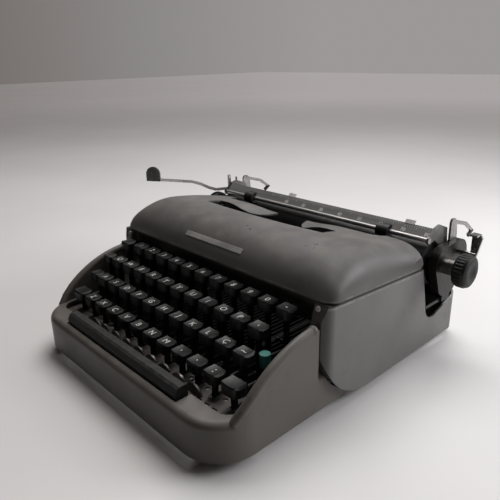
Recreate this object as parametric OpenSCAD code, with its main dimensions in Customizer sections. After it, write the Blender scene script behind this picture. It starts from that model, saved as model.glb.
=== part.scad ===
// Portable typewriter: four-row keyboard in a pressed tray, hinged ribbon cover, sliding carriage.
// X runs to the right, Y to the back, Z up from the table. The origin is under the middle of the whole machine.
// The modules are drawn round the middle of the body and moved to that origin where they are placed.

/* [Keyboard] */
// Distance from one key row to the next, front to back
row_step = 19.05; // [18.5:0.05:19.6]
// Rise from one key row to the next
row_rise = 11.1; // [10:0.1:12]
// Height of the front row's key tops over the table
front_key_z = 51; // [50:0.5:54]
// Distance from the tray's front wall to the front key row
front_row_d = 36; // [35:0.5:38]
// Distance from the last key row to the shell's upper front corner
row_to_shell = 8.85; // [8:0.05:10]
// Gap between neighbouring key caps in a row
cap_gap = 4.45; // [3.5:0.05:6]
// Room between the outermost key and the wing
key_side_gap = 2.2; // [2:0.1:3]
// Depth of a key cap, front to back
cap_d = 13.4; // [12:0.1:14]
// Height of a key cap
cap_h = 8; // [6:0.5:9]
// Corner radius of a key cap
cap_r = 5; // [3:0.5:6]
// Depth of the finger dish in a key cap
cap_dish = 0.8; // [0.4:0.1:1.2]
// Bevel round the top of a key cap
cap_bevel = 1.7; // [1:0.1:2.2]
// Width of the small key cap at the left edge
small_cap_w = 11; // [10:0.5:12]
// Width of a shift key cap
shift_cap_w = 17; // [15:0.5:18]
// Length of the space bar
bar_len = 158; // [140:1:161]
// Depth of the space bar, front to back
bar_d = 10.8; // [9:0.1:11.2]
// Height of the space bar's top over the table
bar_top_z = 45.5; // [44:0.5:48]
// Height of the space bar from its underside
bar_h = 13; // [11:0.5:14]

/* [Key levers] */
// Thickness of the lever strip
lever_t = 1.6; // [1.2:0.1:1.8]
// Height of the lever strip
lever_h = 6; // [5:0.5:7]
// Width of a lever's upright post
post_w = 5; // [4:0.5:6]
// Diameter of the fulcrum shaft that carries all levers
fulcrum_d = 5; // [4:0.5:6]
// Place of the fulcrum shaft, front to back
fulcrum_y = 91; // [88:0.5:92]
// Height of the fulcrum shaft
fulcrum_z = 28; // [27:0.5:29]
// Diameter of the eye at a lever's rear end
lever_eye_d = 10; // [9:0.5:11]

/* [Base tray] */
// Step from the shell's side in to the tray's side
shell_step = 5; // [4:0.5:7]
// Place of the tray's front wall
base_front = -145; // [-146:0.5:-144]
// Depth of the lip in front of the keys
lip_d = 19; // [18:0.5:20]
// Radius of the lip's outer edge
lip_r = 5.5; // [4:0.5:6]
// Height of the lip around the keys
lip_z = 37; // [36:0.5:38]
// Wall of the pressed tray
base_wall = 1.8; // [1.4:0.1:2]
// Plan radius of the tray's front corners
base_corner_r = 34; // [28:1:36]
// Thickness of the rolled wing edge
wing_t = 6; // [5:0.5:6.4]
// Height of the wings at their rear end
wing_z = 77; // [74:0.5:78]
// Radius of the wing's long upper curve
wing_r = 104; // [96:1:120]
// Height of the rubber feet
foot_h = 7; // [5:0.5:8]
// Diameter of the rubber feet
foot_d = 12; // [10:0.5:13]

/* [Body shell] */
// Width of the body shell
shell_w = 266; // [264:1:272]
// Sheet thickness of the body shell
shell_wall = 1.6; // [1.2:0.1:2]
// How far the shell's cheeks lean forward below the seam
cheek_out = 5; // [2:0.5:6]
// Place of the shell's rear wall
shell_rear = 150; // [148:0.5:152]
// Height of the cover seam at the front
seam_front_z = 91; // [90:0.5:93]
// Height of the cover seam at the rear
seam_rear_z = 84; // [83:0.5:86]
// Radius of the big lower front corner
lower_corner_r = 55; // [50:1:56]
// Plan radius of the shell's rear corners
rear_corner_r = 14; // [12:1:20]

/* [Ribbon cover] */
// Rear edge of the cover
cover_rear = 78; // [76:0.5:78.5]
// Height of the cover's crest
crest_z = 119; // [116:0.5:121]
// Height of the cover at its rear edge
cover_rear_z = 105; // [103:0.5:107]
// Sheet thickness of the cover
cover_wall = 1.6; // [1.3:0.1:2]
// Breadth of the cover's rounded shoulders
shoulder_w = 33; // [26:1:38]
// Half width of the type opening at the front
opening_hw = 74; // [68:0.5:78]
// Front edge of the type opening
opening_front = 13.5; // [12:0.5:15]
// Half width of the type opening at the platen
throat_hw = 19; // [17:0.5:22]
// Front edge of the two ears beside the throat
ear_front = 36.5; // [34:0.5:38]
// Rear edge of the two ears
ear_rear = 63; // [61:0.5:66]
// Radius of the ears' corners at the throat
ear_r = 30; // [26:1:32]
// Height of the two lowered ears
ear_z = 106; // [104:0.5:108]

/* [Carriage] */
// Place of the carriage along its rail, from the middle of the body
carriage_at = 1.5; // [0:0.5:20]
// Diameter of the platen
platen_d = 35; // [32:0.5:35.4]
// Gap from each end of the platen's rubber to the carriage end plate
platen_end_gap = 4.5; // [4.2:0.1:6]
// Place of the platen axis, front to back
platen_y = 99; // [98.5:0.5:101]
// Height of the platen axis
platen_z = 84; // [83:0.5:85]
// Diameter of the platen shaft
platen_shaft_d = 8; // [6:0.5:9]
// Diameter of the platen knobs
knob_d = 28.6; // [26:0.2:30]
// Width of a platen knob
knob_w = 13; // [10:0.5:14]
// Distance from the end covers to the knobs
knob_gap = 12.5; // [8:0.5:14]
// How far the carriage end plates stand outside the tray's sides
carriage_over = 2.5; // [1:0.5:3]
// Thickness of the carriage end plates
end_plate_t = 3; // [2.5:0.25:3.5]
// Depth of the hollow end covers outside the end plates
end_cover_w = 4.5; // [4:0.5:6]
// Reach of the paper guides behind the platen axis
guide_reach = 64; // [58:1:66]
// Diameter of the paper bail rod
bail_rod_d = 4; // [3:0.5:4.5]
// Length of a paper bail roller
bail_roller_len = 12; // [8:0.5:16]
// Distance of each bail roller from the middle of the body
bail_roller_x = 86; // [50:1:90]
// Reach of the carriage return lever
return_reach = 116; // [110:1:120]
// Thickness of the return lever bar
return_t = 2.8; // [2.4:0.2:3.4]

/* [Clearances] */
// Gap between parts that move past each other
run_gap = 0.4; // [0.3:0.05:0.6]
// Radial play of a pin or shaft in its bore
pin_play = 0.05; // [0.03:0.01:0.08]
// Gap at the seam between cover and shell
seam_gap = 0.4; // [0.3:0.05:0.8]

/* [Hidden] */
$fn = 48;
row_names = ["lower_key_", "home_key_", "upper_key_", "number_key_"];
row_count = [10, 11, 11, 11];
// First key of each row, in pitches from the middle; the rows stagger so that all levers have own lanes
row_start = [-4.5, -5, -5.25, -4.75];
key_names = [for (r = [0:3]) for (i = [1:row_count[r]]) str(row_names[r], i)];

shell_hw = shell_w / 2;
base_hw = shell_hw - shell_step;
lane = (base_hw - wing_t - key_side_gap - small_cap_w / 2) / 24;
key_pitch = 4 * lane;
cap_w = key_pitch - cap_gap;
front_row_y = base_front + front_row_d;
shell_front = front_row_y + 3 * row_step + row_to_shell;
lever_top = fulcrum_z + lever_h / 2;
lever_bottom = fulcrum_z - lever_h / 2;
body_z = foot_h;
key_well_hw = base_hw - wing_t - 3;
lip_inner_y = base_front + lip_d;
bar_front = base_front + lip_r + 1.5;
rail_front = shell_front - 19;
bar_arm_x = 12.5 * lane;
shift_x = 22.25 * lane;
margin_x = 23.1 * lane;
backspace_x = 24 * lane;
plate_x = key_well_hw - 2.5;
plate_t = 2;
front_plate_z = lever_top - 1.5;
front_plate_d = 20;
shell_corner_y = shell_front + 50;
shell_corner_z = body_z + lower_corner_r;
hinge_y = cover_rear - 6;
hinge_z = seam_rear_z + 6;
hinge_d = 4;
cover_front = shell_front + 0.5;
basket_y = platen_y - platen_d / 2 - 4;
rail_y = 102;
rail_w = 8;
rail_z = 33;
rail_h = 10;
groove = 2;
end_x = base_hw + carriage_over;
platen_len = 2 * (end_x - platen_end_gap);
cover_x = end_x + end_plate_t + end_cover_w;
knob_x = cover_x + knob_gap;
knob_seat = 9;
bail_y = platen_y - 9.5;
bail_z = platen_z + 21.5;
bail_roller_r = norm([platen_y - bail_y, platen_z - bail_z]) - platen_d / 2 - run_gap;
bail_pivot_y = platen_y + 17;
bail_pivot_z = platen_z + 9;
bail_arm_x = platen_len / 2 + 1.2;
bail_arm_t = end_x - bail_arm_x - 1.5;
return_x = -(end_x + end_plate_t + end_cover_w / 2);
return_y = platen_y + 12;
return_z = platen_z + 16.1;
return_pin_d = 5;
return_angle = 212;
release_y = platen_y + 35;
release_z = platen_z + 2;
release_d = 5;
release_gap = 7;
selector_x = plate_x - 9.5;
selector_y = front_row_y + 28;
selector_z = front_key_z + 10;
selector_pivot_y = shell_front + 6;
selector_pivot_z = front_key_z + 1;
spool_d = 44;
spool_x = plate_x - spool_d / 2 - 6.5;
spool_y = 22;
spool_z = seam_rear_z;
segment_z = 52;
middle_x = carriage_at + round((knob_x + knob_w + return_x + return_reach * cos(return_angle)) / 2);
middle_y = (base_front + max(shell_rear, platen_y + guide_reach)) / 2;

function seam_z(y) =
    seam_front_z + (seam_rear_z - seam_front_z) * (y - shell_front) / (cover_rear - shell_front);
function smooth(t) = let (u = max(0, min(1, t))) u * u * (3 - 2 * u);
function row_y(r) = front_row_y + r * row_step;
function row_z(r) = front_key_z + r * row_rise;
function key_x(r, i) = (row_start[r] + i) * key_pitch;

// A flat outline drawn in Y and Z and extruded along X from x0 by w
module slab(x0, w) {
    translate([x0, 0, 0]) rotate([90, 0, 90]) linear_extrude(w) children();
}

// A round bar along X
module rod(x0, x1, y, z, d) {
    translate([x0, y, z]) rotate([0, 90, 0]) cylinder(h = x1 - x0, d = d);
}

module both_sides() {
    children();
    mirror([1, 0, 0]) children();
}

// Rectangle with round corners, centred
module round_rect(w, d, r) {
    square([w - 2 * r, d], center = true);
    square([w, d - 2 * r], center = true);
    for (sx = [-1, 1]) for (sy = [-1, 1]) translate([sx * (w / 2 - r), sy * (d / 2 - r)]) circle(r);
}

// Straight-sided plan with two round corners at its front
module front_round_plan(hw, front, back, r) {
    translate([-hw, front + r]) square([2 * hw, back - front - r]);
    translate([-hw + r, front]) square([2 * (hw - r), r + 1]);
    for (s = [-1, 1]) translate([s * (hw - r), front + r]) circle(r);
}

// Outline of a block w wide with its upper edges bevelled, standing on 0
module bevelled(w) {
    polygon([[-w / 2, 0], [w / 2, 0], [w / 2, cap_h - cap_bevel], [w / 2 - cap_bevel, cap_h],
        [cap_bevel - w / 2, cap_h], [-w / 2, cap_h - cap_bevel]]);
}

// Key cap with bevelled edges and a dished top; z is the height of its rim
module key_cap(x, y, z, w, d) {
    dish_r = w * w / (8 * cap_dish) + cap_dish / 2;
    translate([x, y, z - cap_h]) difference() {
        intersection() {
            linear_extrude(cap_h) round_rect(w, d, cap_r);
            translate([0, d, 0]) rotate([90, 0, 0]) linear_extrude(2 * d) bevelled(w);
            slab(-w, 2 * w) bevelled(d);
        }
        translate([0, 0, cap_h + dish_r - cap_dish]) sphere(dish_r, $fn = 96);
    }
}

// Lever strip with an eye on the fulcrum shaft and an upright post that carries a cap at y, z
module key_lever(x, y, z) {
    slab(x - lever_t / 2, lever_t) difference() {
        union() {
            translate([fulcrum_y, fulcrum_z]) circle(d = lever_eye_d);
            translate([y - post_w / 2, lever_bottom]) square([fulcrum_y - y + post_w / 2, lever_h]);
            translate([y - post_w / 2, lever_bottom]) square([post_w, z - cap_h - lever_bottom + 1]);
        }
        translate([fulcrum_y, fulcrum_z]) circle(d = fulcrum_d + 2 * pin_play);
    }
}

module typing_key(r, i) {
    color([0.13, 0.15, 0.15]) {
        key_cap(key_x(r, i), row_y(r), row_z(r), cap_w, cap_d);
        key_lever(key_x(r, i), row_y(r), row_z(r));
    }
}

module space_bar() {
    z0 = bar_top_z - bar_h;
    b = bar_front + bar_d;
    color([0.2, 0.21, 0.22]) {
        slab(-bar_len / 2, bar_len) polygon([[bar_front, z0], [bar_front, bar_top_z - 5],
            [bar_front + 1.8, bar_top_z - 1.2], [bar_front + 4, bar_top_z], [b - 1.6, bar_top_z],
            [b, bar_top_z - 1.6], [b, z0]]);
        both_sides() slab(bar_arm_x - lever_t / 2, lever_t) difference() {
            union() {
                translate([fulcrum_y, fulcrum_z]) circle(d = lever_eye_d);
                translate([b - 7, lever_bottom]) square([fulcrum_y - b + 7, lever_h]);
                translate([b - 7, lever_bottom]) square([post_w, z0 - lever_bottom + 1]);
            }
            translate([fulcrum_y, fulcrum_z]) circle(d = fulcrum_d + 2 * pin_play);
        }
    }
}

// Both shift keys and the lock key on one rocker, joined behind the fulcrum by a cross rod
module shift_keys() {
    lock_y = row_y(1);
    color([0.14, 0.17, 0.16]) {
        both_sides() {
            key_cap(shift_x, front_row_y, front_key_z, shift_cap_w, cap_d);
            key_lever(shift_x, front_row_y, front_key_z);
            slab(shift_x - lever_t / 2, lever_t)
                translate([fulcrum_y + 4, lever_bottom]) square([10, lever_h]);
        }
        key_cap(-shift_x - 4.5, lock_y, row_z(1), 12, 12);
        slab(-shift_x - lever_t / 2, lever_t)
            translate([lock_y - post_w / 2, lever_bottom])
                square([post_w, row_z(1) - cap_h - lever_bottom + 1]);
        rod(-shift_x, shift_x, fulcrum_y + 11, fulcrum_z, 4);
    }
}

module backspace_key() {
    color([0.13, 0.15, 0.15]) {
        key_cap(-backspace_x, row_y(2) - 2, row_z(2) + 1, small_cap_w, 12);
        key_lever(-backspace_x, row_y(2) - 2, row_z(2) + 1);
    }
}

module margin_release_key() {
    color([0.13, 0.15, 0.15]) {
        key_cap(-margin_x, row_y(3) - 2, row_z(3), 12.5, cap_d);
        key_lever(-margin_x, row_y(3) - 2, row_z(3));
    }
}

// Small lever with a coloured button that switches the ribbon
module ribbon_selector() {
    color([0.1, 0.42, 0.38]) {
        slab(selector_x - 0.8, 1.6) difference() {
            union() {
                translate([selector_pivot_y, selector_pivot_z]) circle(d = 9);
                polygon([[selector_pivot_y, selector_pivot_z - 3], [selector_pivot_y, selector_pivot_z + 3],
                    [selector_y + 2, selector_z - 3], [selector_y - 2.5, selector_z - 3],
                    [selector_y - 2.5, selector_z - 8]]);
            }
            translate([selector_pivot_y, selector_pivot_z]) circle(d = hinge_d + 2 * pin_play);
        }
        translate([selector_x, selector_y, selector_z - 10]) cylinder(h = 10, d = 8);
    }
}

// Concave rear edge of the tray's sides, drawn round the shell's lower front corner
module shell_corner_round(gap) {
    translate([shell_corner_y, shell_corner_z]) circle(lower_corner_r + gap, $fn = 96);
}

// A round bar between two points
module strut(p, q, d) {
    v = q - p;
    translate(p) rotate([0, acos(v[2] / norm(v)), atan2(v[1], v[0])]) cylinder(h = norm(v), d = d);
}

// Wing beside the keys: a wall that follows the tray's corner, with a rolled upper edge
module wing() {
    bead_d = wing_t + 0.8;
    bulb_d = bead_d + 1.2;
    r = wing_r - wing_t / 2;
    y1 = shell_front - cheek_out - bulb_d / 2 - run_gap;
    p0 = [lip_inner_y, lip_z];
    p1 = [y1, wing_z];
    chord = p1 - p0;
    c = (p0 + p1) / 2 + sqrt(wing_r * wing_r - chord * chord / 4) * [chord[1], -chord[0]] / norm(chord);
    corner_y = base_front + base_corner_r;
    corner_x = base_hw - base_corner_r;
    bend = base_corner_r - wing_t / 2;
    a0 = acos((corner_y - c[0]) / r);
    a1 = acos((y1 - c[0]) / r);
    function top_z(y) = c[1] + sqrt(r * r - (y - c[0]) * (y - c[0]));
    function bead_point(f) = let (y = corner_y - bend * sin(f)) [corner_x + bend * cos(f), y, top_z(y)];
    intersection() {
        translate([0, 0, lip_z - lip_r]) linear_extrude(wing_z) difference() {
            front_round_plan(base_hw, base_front, 0, base_corner_r);
            front_round_plan(base_hw - wing_t, base_front + wing_t, 1, base_corner_r - wing_t);
            translate([-base_hw - 1, base_front - 1]) square([base_hw + 1 + corner_x, 160]);
        }
        slab(corner_x, base_corner_r + 1) difference() {
            intersection() {
                translate(c) circle(r, $fn = 180);
                translate([base_front, body_z])
                    square([shell_front - cheek_out - 0.6 - base_front, 2 * wing_z]);
            }
            shell_corner_round(0.6);
        }
    }
    translate([base_hw - wing_t / 2, c[0], c[1]]) rotate([90, 0, 90]) rotate([0, 0, a1])
        rotate_extrude(angle = a0 - a1, $fn = 180) translate([r, 0]) circle(d = bead_d);
    translate([base_hw - wing_t / 2, y1, top_z(y1)]) sphere(d = bulb_d);
    for (f = [0, 13]) {
        translate(bead_point(f)) sphere(d = bead_d + 0.1);
        strut(bead_point(f), bead_point(f + 13), bead_d);
    }
}

// Section of the tray's sheet: wall with its outer face on 0, rounded edge, flange going in by reach
module wall_section(reach) {
    difference() {
        union() {
            translate([-reach, body_z]) square([reach, lip_z - lip_r - body_z]);
            translate([-reach, lip_z - lip_r - 1]) square([reach - lip_r, lip_r + 1]);
            intersection() {
                translate([-lip_r, lip_z - lip_r]) circle(lip_r);
                translate([-lip_r - 1, body_z]) square([lip_r + 1, lip_z]);
            }
        }
        translate([-reach - 1, body_z - 1]) square([reach + 1 - base_wall, lip_z - lip_r - body_z + 1]);
        translate([-reach - 1, body_z]) square([reach + 1 - lip_r, lip_z - base_wall - body_z]);
        translate([-lip_r, lip_z - lip_r]) circle(lip_r - base_wall);
    }
}

// Pressed tray: wall with a rounded lip, recess for the space bar, wings beside the keys, rails to the rear
module base_frame() {
    back = shell_corner_y;
    r = base_corner_r;
    flange = base_hw - key_well_hw;
    color([0.6, 0.58, 0.54]) {
        difference() {
            union() {
                translate([base_hw - r, base_front, 0]) rotate([0, 0, -90]) rotate([90, 0, 0])
                    linear_extrude(2 * (base_hw - r)) wall_section(flange);
                both_sides() {
                    translate([base_hw - r, base_front + r, 0]) rotate([0, 0, -90])
                        rotate_extrude(angle = 90, $fn = 96) translate([r, 0]) wall_section(flange);
                    translate([base_hw, back, 0]) rotate([90, 0, 0])
                        linear_extrude(back - base_front - r) wall_section(flange);
                }
                translate([0, 0, lip_z - base_wall]) linear_extrude(base_wall) difference() {
                    front_round_plan(base_hw - lip_r, base_front + lip_r, lip_inner_y + 30, r - lip_r);
                    translate([0, lip_inner_y + 30]) round_rect(2 * key_well_hw, 60, 12);
                }
            }
            translate([-bar_len / 2 - 1.4, bar_front - 1, lip_z - 4])
                cube([bar_len + 2.8, lip_inner_y - bar_front + 3, 8]);
            slab(-base_hw - 1, 2 * base_hw + 2) shell_corner_round(0.6);
        }
        both_sides() {
            wing();
            translate([base_hw - 14, rail_front, body_z]) cube([13, shell_rear - 7 - rail_front, 3.5]);
            intersection() {
                translate([base_hw - 30, base_front, body_z]) cube([30, 38, 2]);
                translate([0, 0, body_z]) linear_extrude(3)
                    front_round_plan(base_hw - 1, base_front + 1, back, r - 1);
            }
        }
        translate([-base_hw + 2, shell_rear - 17, body_z]) cube([2 * base_hw - 4, 10, 3.5]);
    }
}

module rubber_feet() {
    color([0.08, 0.08, 0.08]) both_sides()
        for (p = [[base_hw - 18, base_front + 29], [base_hw - 8, shell_rear - 14]]) translate(p) {
            cylinder(h = foot_h - 2, d1 = foot_d - 2, d2 = foot_d);
            translate([0, 0, foot_h - 2]) cylinder(h = 2, d = foot_d);
        }
}

// Side outline of the shell: big round lower front corner, sloping seam, dip for the carriage
module shell_side() {
    f = shell_front - cheek_out;
    difference() {
        polygon([[f, body_z], [f, seam_front_z - 16], [shell_front, seam_front_z],
            [cover_rear + 1, seam_rear_z], [rail_y - 13.4, 46], [shell_rear + 1, 46],
            [shell_rear + 1, body_z]]);
        translate([rail_y + 1, 46]) circle(14.4);
        polygon([[rail_y + 1, 31.6], [shell_rear + 2, 45], [shell_rear + 2, 60], [rail_y + 1, 60]]);
        difference() {
            translate([f - 20, body_z - 1]) square([shell_corner_y - f + 20, lower_corner_r + 1]);
            shell_corner_round(0);
        }
    }
}

module shell_plan(inset) {
    f = shell_front - cheek_out;
    w = shell_hw - inset;
    r = rear_corner_r - inset;
    c = 11 - inset;
    translate([-w + c, f + inset]) square([2 * (w - c), 40]);
    translate([-w, f + inset + c]) square([2 * w, shell_rear - f - 2 * inset - c - r]);
    translate([-w + r, shell_rear - r - inset - 1]) square([2 * (w - r), r + 1]);
    for (s = [-1, 1]) {
        translate([s * (w - c), f + inset + c]) circle(c);
        translate([s * (w - r), shell_rear - inset - r]) circle(r);
    }
}

// Housing of sheet metal: side panels, rear wall, cheeks at the front and the undercut strip below the seam
module body_shell() {
    f = shell_front - cheek_out;
    cheek_in = key_well_hw;
    color([0.62, 0.6, 0.57]) intersection() {
        union() {
            difference() {
                translate([0, 0, body_z]) linear_extrude(seam_front_z - body_z) shell_plan(0);
                translate([0, 0, body_z - 1]) linear_extrude(seam_front_z - body_z + 2) shell_plan(shell_wall);
                translate([-cheek_in, f - 1, 0]) cube([2 * cheek_in, 30, seam_front_z + 1]);
            }
            intersection() {
                translate([0, 0, body_z]) linear_extrude(seam_front_z - body_z) shell_plan(0);
                both_sides() translate([cheek_in, f, body_z]) cube([30, cheek_out + 4, seam_front_z]);
            }
            slab(-cheek_in - 1, 2 * cheek_in + 2) polygon([[shell_front, seam_front_z + 1],
                [shell_front + shell_wall, seam_front_z + 1],
                [shell_front + 11.8 + shell_wall, seam_front_z - 14],
                [shell_front + 11.8 + shell_wall, seam_front_z - 24], [shell_front + 11.8, seam_front_z - 24],
                [shell_front + 11.8, seam_front_z - 14.6]]);
        }
        slab(-shell_hw, shell_w) shell_side();
    }
}

// Height of the cover's top line, front to back, as a point [y, z]; t runs from 0 to 2
function crest_point(t, in) = t < 1
    ? [(cover_front + in) * cos(90 * t),
        seam_front_z + seam_gap + (crest_z - in - seam_front_z - seam_gap) * sin(90 * t)]
    : [cover_rear * (t - 1), crest_z - in - (crest_z - cover_rear_z) * pow(t - 1, 1.4)];
function plan_hw(y, in) = let (c = 11, d = max(0, c - (y - cover_front)))
    shell_hw - in - c + sqrt(max(0, c * c - d * d));
// Across the cover: s from -1 to 1 gives the sideways place and the share of the full height
function across(s, hw) = let (k = 0.55, a = (abs(s) - k) / (1 - k))
    abs(s) < k ? [s / k * (hw - shoulder_w), 1]
    : [sign(s) * (hw - shoulder_w + shoulder_w * pow(sin(90 * a), 0.8)), pow(cos(90 * a), 0.8)];
function ear_share(x, y) = smooth((opening_hw - 12 - abs(x)) / 40) * smooth((y - opening_front) / 26);
function ear_drop(x, y, z) = max(0, z - ear_z) * ear_share(x, y);
function cover_point(s, t, in) =
    let (c = crest_point(t, in), a = across(s, plan_hw(c[0], in)), base = seam_z(c[0]) + seam_gap)
    let (z = base + max(0, c[1] - base) * a[1])
    [a[0], c[0], z - ear_drop(a[0], c[0], z + in)];

// Pressed cover as one skin between an outer and an inner surface
module cover_skin() {
    ns = 52;
    nt = 32;
    row = ns + 1;
    layer = row * (nt + 1);
    pts = [for (in = [0, cover_wall]) for (j = [0:nt]) for (i = [0:ns])
        cover_point(2 * i / ns - 1, 2 * j / nt, in)];
    function q(a, b, c, d) = [[a, b, c], [a, c, d]];
    quads = concat(
        [for (j = [0:nt - 1]) for (i = [0:ns - 1]) let (p = j * row + i)
            each q(p, p + row, p + row + 1, p + 1)],
        [for (j = [0:nt - 1]) for (i = [0:ns - 1]) let (p = layer + j * row + i)
            each q(p, p + 1, p + row + 1, p + row)],
        [for (i = [0:ns - 1]) each q(i, i + 1, layer + i + 1, layer + i)],
        [for (i = [0:ns - 1]) let (p = nt * row + i) each q(p + 1, p, layer + p, layer + p + 1)],
        [for (j = [0:nt - 1]) let (p = j * row) each q(p + row, p, layer + p, layer + p + row)],
        [for (j = [0:nt - 1]) let (p = j * row + ns) each q(p, p + row, layer + p + row, layer + p)]);
    polyhedron(points = pts, faces = quads, convexity = 6);
}

// Type opening: wide behind the crest, drawn in between the two ears, and open to the rear behind them
module type_opening() {
    bow = 600;
    notch_hw = opening_hw + 22;
    difference() {
        intersection() {
            translate([-opening_hw, 0]) square([2 * opening_hw, ear_front + ear_r]);
            translate([0, opening_front + bow]) circle(bow, $fn = 360);
        }
        for (s = [-1, 1]) translate([s * (throat_hw + ear_r), ear_front + ear_r]) {
            circle(ear_r, $fn = 96);
            translate([s > 0 ? 0 : -opening_hw, -ear_r]) square([opening_hw, ear_r]);
        }
    }
    translate([0, ear_rear + notch_hw / 2]) round_rect(2 * notch_hw, notch_hw, 10);
}

module top_cover() {
    color([0.64, 0.62, 0.59]) {
        difference() {
            cover_skin();
            translate([0, 0, seam_rear_z]) linear_extrude(60) type_opening();
            slab(-shell_hw - 1, shell_w + 2) polygon([[hinge_y + 1, seam_rear_z - 1],
                [hinge_y + 1, seam_rear_z + 0.4], [cover_rear + 1, hinge_z - 1],
                [cover_rear + 1, seam_rear_z - 1]]);
        }
        both_sides() difference() {
            rod(shell_hw - 7, shell_hw - cover_wall / 2, hinge_y, hinge_z, 10);
            rod(shell_hw - 9, shell_hw - 3, hinge_y, hinge_z, hinge_d + 2 * pin_play);
        }
    }
}

// Lever comb with one slot for each lever lane
module lever_comb(y) {
    n = 21;
    difference() {
        translate([-plate_x - 1, y, body_z + 5]) cube([2 * plate_x + 2, 1.5, lever_top + 3 - body_z - 5]);
        for (k = [-n:n]) translate([k * lane - lever_t / 2 - run_gap, y - 1, body_z + 8])
            cube([lever_t + 2 * run_gap, 4, 40]);
        for (x = [-backspace_x, -margin_x, -shift_x, shift_x, -bar_arm_x, bar_arm_x])
            translate([x - lever_t / 2 - run_gap, y - 1, body_z + 8]) cube([lever_t + 2 * run_gap, 4, 40]);
    }
}

// Inner steel frame: side plates, fulcrum shaft, combs, front plate, carriage rail, ribbon spools
module chassis() {
    px = plate_x;
    color([0.32, 0.32, 0.33]) {
        both_sides() {
            slab(px, plate_t) union() {
                polygon([[lip_inner_y + 1, front_plate_z - 6], [lip_inner_y + 1, front_plate_z + 1.5],
                    [shell_front + 16, lever_top + 2], [shell_front + 18, seam_rear_z - 2],
                    [hinge_y - 8, seam_rear_z - 2], [hinge_y - 7, hinge_z + 4], [hinge_y + 4, hinge_z + 4],
                    [hinge_y + 5, seam_rear_z - 8], [fulcrum_y - 8, rail_z + 2], [shell_rear - 4, rail_z - 4],
                    [shell_rear - 4, body_z + 3.5], [shell_front + 30, body_z + 3.5],
                    [shell_front + 10, front_plate_z - 6]]);
            }
            rod(px, shell_hw - 3.6, hinge_y, hinge_z, hinge_d);
        }
        rod(-px - 1, px + 1, fulcrum_y, fulcrum_z, fulcrum_d);
        lever_comb(shell_front + 18);
        difference() {
            translate([-px - 1, lip_inner_y + 1, front_plate_z]) cube([2 * px + 2, front_plate_d, 1.5]);
            both_sides() {
                translate([bar_arm_x - 2, lip_inner_y, front_plate_z - 1]) cube([4, front_plate_d + 2, 4]);
                for (k = [0:3]) translate([px - 37.4 + 8.4 * k, lip_inner_y + 4.4, front_plate_z - 1])
                    cube([5, 2.2, 4]);
                for (k = [0:2]) translate([3 * key_pitch + key_pitch * k, front_row_y + 0.8, front_plate_z - 1])
                    cylinder(h = 4, d = 4);
                for (x = concat([shift_x], [for (k = [0:4]) key_x(0, 5 + k)]))
                    translate([x - post_w / 2, front_row_y - post_w / 2 - 1, front_plate_z - 1])
                        cube([post_w, 40, 4]);
            }
        }
        difference() {
            translate([0, front_row_y - cap_d / 2 - 4 * run_gap, 0]) rotate([90, 0, 0]) linear_extrude(1.5) union() {
                for (i = [-4:4]) translate([2.7 + 17.6 * i, front_plate_z]) circle(9);
                translate([-4 * key_pitch, front_plate_z]) square([8 * key_pitch, 5]);
            }
            translate([-px, lip_inner_y, 0]) cube([2 * px, 12, front_plate_z + 0.5]);
            both_sides() translate([bar_arm_x - 2, lip_inner_y, 0]) cube([4, 13, lever_top + 1]);
        }
        difference() {
            translate([-px - 1, rail_y - rail_w / 2, rail_z]) cube([2 * px + 2, rail_w, rail_h]);
            for (s = [-1, 1]) translate([-px - 2, rail_y + s * rail_w / 2 - groove, rail_z + 5])
                cube([2 * px + 4, 2 * groove, 2.6]);
        }
        translate([-px - 1, basket_y - 16, 44]) cube([2 * px + 2, 10, 8]);
        translate([-px - 1, shell_rear - 12, body_z + 4]) cube([2 * px + 2, 8, 14]);
        rod(selector_x - 3, px + 1, selector_pivot_y, selector_pivot_z, hinge_d);
        translate([px, selector_pivot_y - 6, lever_top]) cube([plate_t, 12, selector_pivot_z + 6 - lever_top]);
        both_sides() {
            translate([spool_x - spool_d / 2 - 2, spool_y - spool_d / 2 - 2, spool_z - 3])
                cube([px - spool_x + spool_d / 2 + 3, spool_d + 4, 3]);
            translate([spool_x, spool_y, spool_z - 1]) {
                cylinder(h = 14, d = 5);
                cylinder(h = 2, d = spool_d);
                cylinder(h = 11, d = spool_d - 8);
                translate([0, 0, 11]) cylinder(h = 1.2, d = spool_d);
            }
        }
    }
}

// Slotted segment with the type bars lying in a fan, and the ribbon guide at the printing point
module type_basket() {
    bars = 43;
    spread = 136;
    color([0.4, 0.41, 0.43]) translate([0, basket_y, 0]) {
        rotate([0, 0, 180]) rotate_extrude(angle = 180, $fn = 96) polygon([[16, segment_z], [16, segment_z + 8],
            [26, segment_z + 12], [31, segment_z + 10], [31, segment_z]]);
        for (i = [0:bars - 1]) rotate([0, 0, -90 - spread / 2 + spread * i / (bars - 1)])
            rotate([90, 0, 0]) translate([0, 0, -0.4]) linear_extrude(0.8) union() {
                polygon([[27, 58], [27, 65], [60, 88], [68, 90], [68, 83], [62, 83]]);
                translate([65, 86]) square([3, 8]);
            }
        for (s = [-1, 1]) translate([s * 9 - 1, -3, 50]) cube([2, 2, 36]);
        translate([-18, -6, 52]) cube([36, 5, 4]);
        translate([-10, -3, 74]) cube([20, 1.2, 3]);
    }
}

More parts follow.
